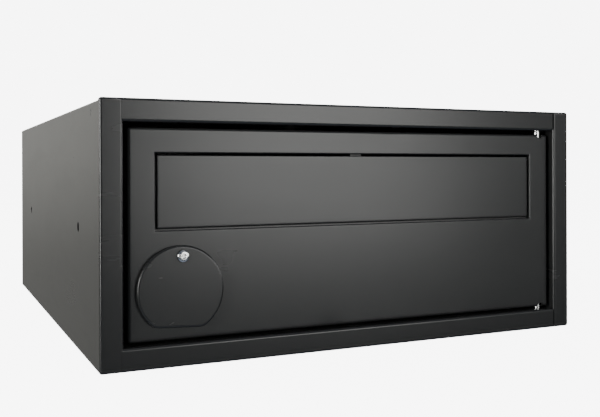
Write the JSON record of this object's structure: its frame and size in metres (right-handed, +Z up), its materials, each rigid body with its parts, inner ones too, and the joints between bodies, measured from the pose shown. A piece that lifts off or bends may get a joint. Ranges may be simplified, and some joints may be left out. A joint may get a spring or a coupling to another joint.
{
  "type": "parcel drop box",
  "caption": "Black steel parcel drop box with a proud front frame, a side-hung door, an inward-opening parcel flap and a swinging cover over its cam lock.",
  "frame": {"origin": "middle of the base's underside, on the surface that the box stands on", "axes": "+Z up, the door and its frame face -Y, +X to the right as seen from the front"},
  "size_m": [0.5, 0.6031, 0.23],
  "materials": {
    "casing_coat": "black powder coat, satin, fine texture",
    "frame_coat": "black powder coat, satin, fine texture",
    "door_coat": "black powder coat, satin, fine texture",
    "flap_coat": "black powder coat, satin, fine texture",
    "cover_coat": "black powder coat, satin, fine texture",
    "bracket_coat": "black powder coat, satin",
    "zinc_steel": "zinc plated",
    "spring_steel": "drawn spring wire",
    "bright_steel": "polished stainless steel",
    "nickel": "nickel plated",
    "black_nylon": "moulded nylon",
    "black_rubber": "rubber"
  },
  "bodies": {
    "casing": {"back_panel": "casing_coat", "base_tray": "casing_coat", "casing_wrap": "casing_coat", "door_buffer_lower": "black_rubber", "door_buffer_upper": "black_rubber", "frame_bottom_rail": "frame_coat", "frame_left_stile": "frame_coat", "frame_right_stile": "frame_coat", "frame_top_rail": "frame_coat", "keeper_angle": "bracket_coat", "lower_hinge_pin": "bright_steel", "lower_pin_plate": "zinc_steel", "upper_hinge_pin": "bright_steel", "upper_pin_plate": "zinc_steel"},
    "door": {"bracket_nut": "zinc_steel", "cover_nut": "zinc_steel", "cover_screw": "bright_steel", "cover_spacer": "black_nylon", "door_panel": "door_coat", "flap_rod": "zinc_steel", "hinge_stiffener": "bracket_coat", "lock_body": "nickel", "lock_bracket": "zinc_steel", "lock_bracket_nut_left": "zinc_steel", "lock_bracket_nut_right": "zinc_steel", "lower_hinge_bush": "bright_steel", "rod_bracket_centre": "bracket_coat", "rod_bracket_left": "bracket_coat", "rod_bracket_right": "bracket_coat", "rod_clip_left": "zinc_steel", "rod_clip_right": "zinc_steel", "upper_hinge_bush": "bright_steel"},
    "flap": {"flap_buffer_left": "black_rubber", "flap_buffer_right": "black_rubber", "flap_ear_inner_left": "flap_coat", "flap_ear_inner_right": "flap_coat", "flap_ear_outer_left": "flap_coat", "flap_ear_outer_right": "flap_coat", "flap_panel": "flap_coat", "flap_spring_left": "spring_steel", "flap_spring_right": "spring_steel"},
    "lock_cover": {"lock_cover": "cover_coat"},
    "lock_cylinder": {"lock_plug": "nickel", "lock_cam": "zinc_steel", "cam_screw": "zinc_steel"}
  },
  "joints": [
    {"name": "door_hinge", "type": "hinge", "parent": "casing", "child": "door", "pos_m": [0.216, -0.289, 0.115], "axis": [0, 0, 1], "range_deg": [0, 110]},
    {"name": "flap_hinge", "type": "hinge", "parent": "door", "child": "flap", "pos_m": [0, -0.286, 0.178], "axis": [1, 0, 0], "range_deg": [0, 75], "stiffness_Nm_per_rad": 0.12, "springref_deg": -34.38, "deforming": ["flap_spring_left", "flap_spring_right"]},
    {"name": "lock_cover_pivot", "type": "hinge", "parent": "door", "child": "lock_cover", "pos_m": [-0.179, -0.3, 0.0952], "axis": [0, -1, 0], "range_deg": [-18, 195]},
    {"name": "lock_turn", "type": "hinge", "parent": "door", "child": "lock_cylinder", "pos_m": [-0.18, -0.285, 0.06], "axis": [0, -1, 0], "range_deg": [0, 90]}
  ]
}
